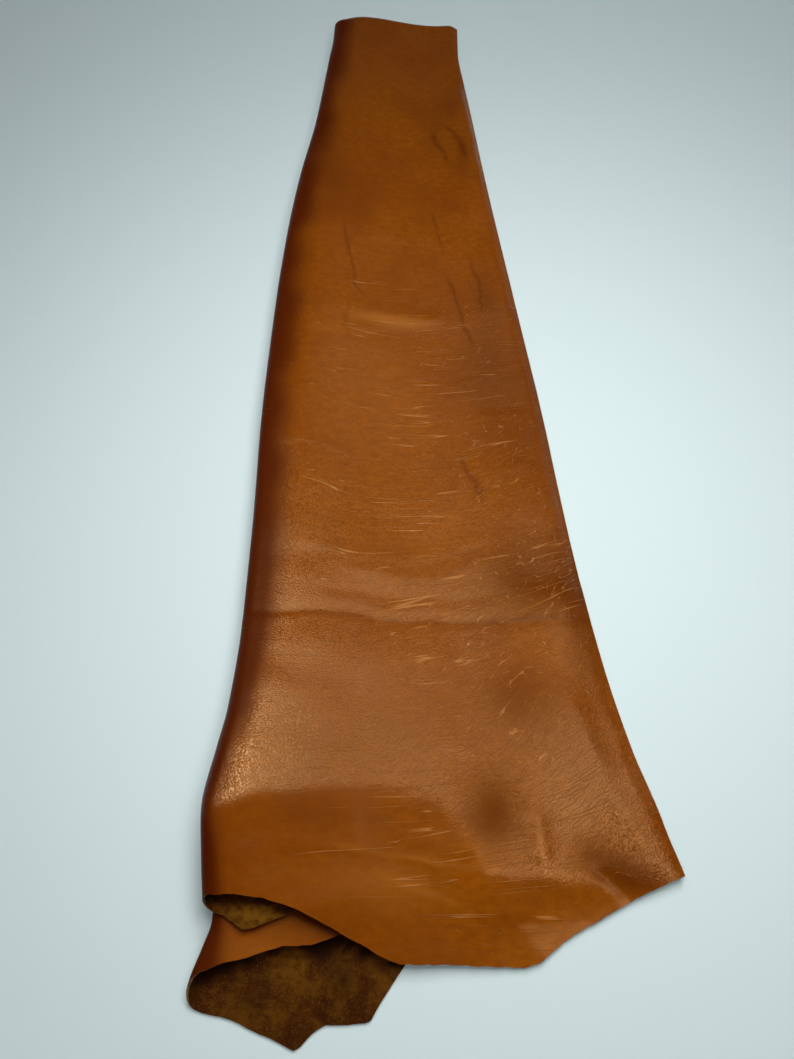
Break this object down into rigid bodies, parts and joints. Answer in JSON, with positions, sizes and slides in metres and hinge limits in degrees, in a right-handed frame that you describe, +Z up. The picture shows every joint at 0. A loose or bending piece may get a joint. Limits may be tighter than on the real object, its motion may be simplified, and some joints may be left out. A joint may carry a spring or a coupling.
{
  "type": "piece of leather",
  "caption": "Soft tan leather piece, folded in half lengthwise and again crosswise, smooth grain side outside and suede flesh side inside, lying flat",
  "frame": {"origin": "middle of the bounding box, on the surface that the leather lies on", "axes": "+Y runs from the near cut ends to the far crosswise fold, +Z is up, and +X points from the long fold to the open cut edges"},
  "size_m": [0.2704, 0.9214, 0.0287],
  "materials": {
    "tan_leather": "soft satin"
  },
  "bodies": {
    "root": {"hide": "tan_leather"}
  },
  "joints": []
}
